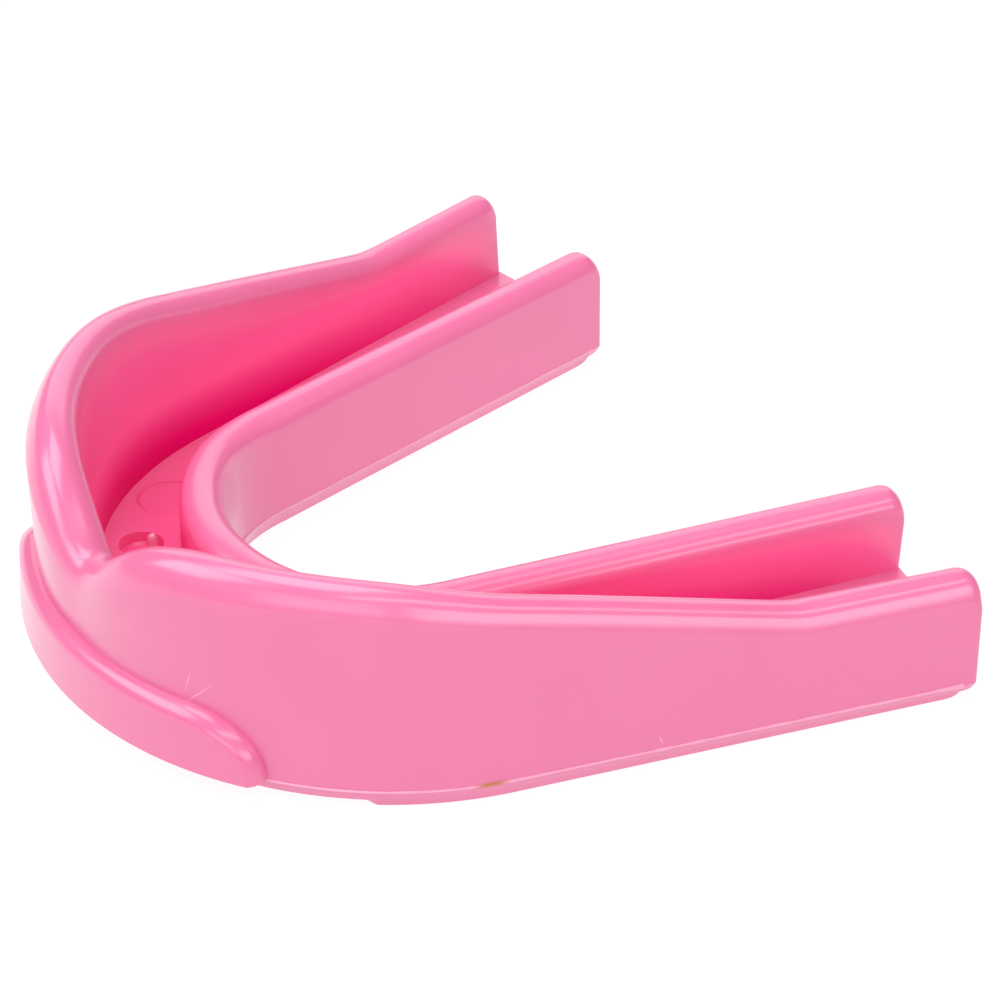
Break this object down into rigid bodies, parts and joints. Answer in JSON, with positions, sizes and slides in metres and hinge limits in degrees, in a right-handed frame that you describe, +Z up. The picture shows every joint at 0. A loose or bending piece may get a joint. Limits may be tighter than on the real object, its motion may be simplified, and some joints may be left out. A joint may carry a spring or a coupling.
{
  "type": "mouthguard",
  "caption": "U-shaped boil-and-bite mouthguard in soft moulded plastic: tall outer wall, lower inner wall, tooth channel, front bumper strip and shallow bite pads.",
  "frame": {"origin": "centre of the bounding box in plan, on the surface that the bite pads rest on", "axes": "+Z up, -Y towards the lips, +Y towards the throat, +X towards the wearer's left"},
  "size_m": [0.0622, 0.0531, 0.0159],
  "materials": {
    "eva": "satin, soft moulded ethylene-vinyl acetate with a slight gloss"
  },
  "bodies": {
    "root": {"outer_wall": "eva", "inner_wall": "eva", "bite_tray": "eva", "front_bumper": "eva", "bite_pad_left": "eva", "bite_pad_right": "eva", "parting_line_left": "eva", "parting_line_right": "eva", "parting_line_inner": "eva", "gate_nub": "eva"}
  },
  "joints": []
}
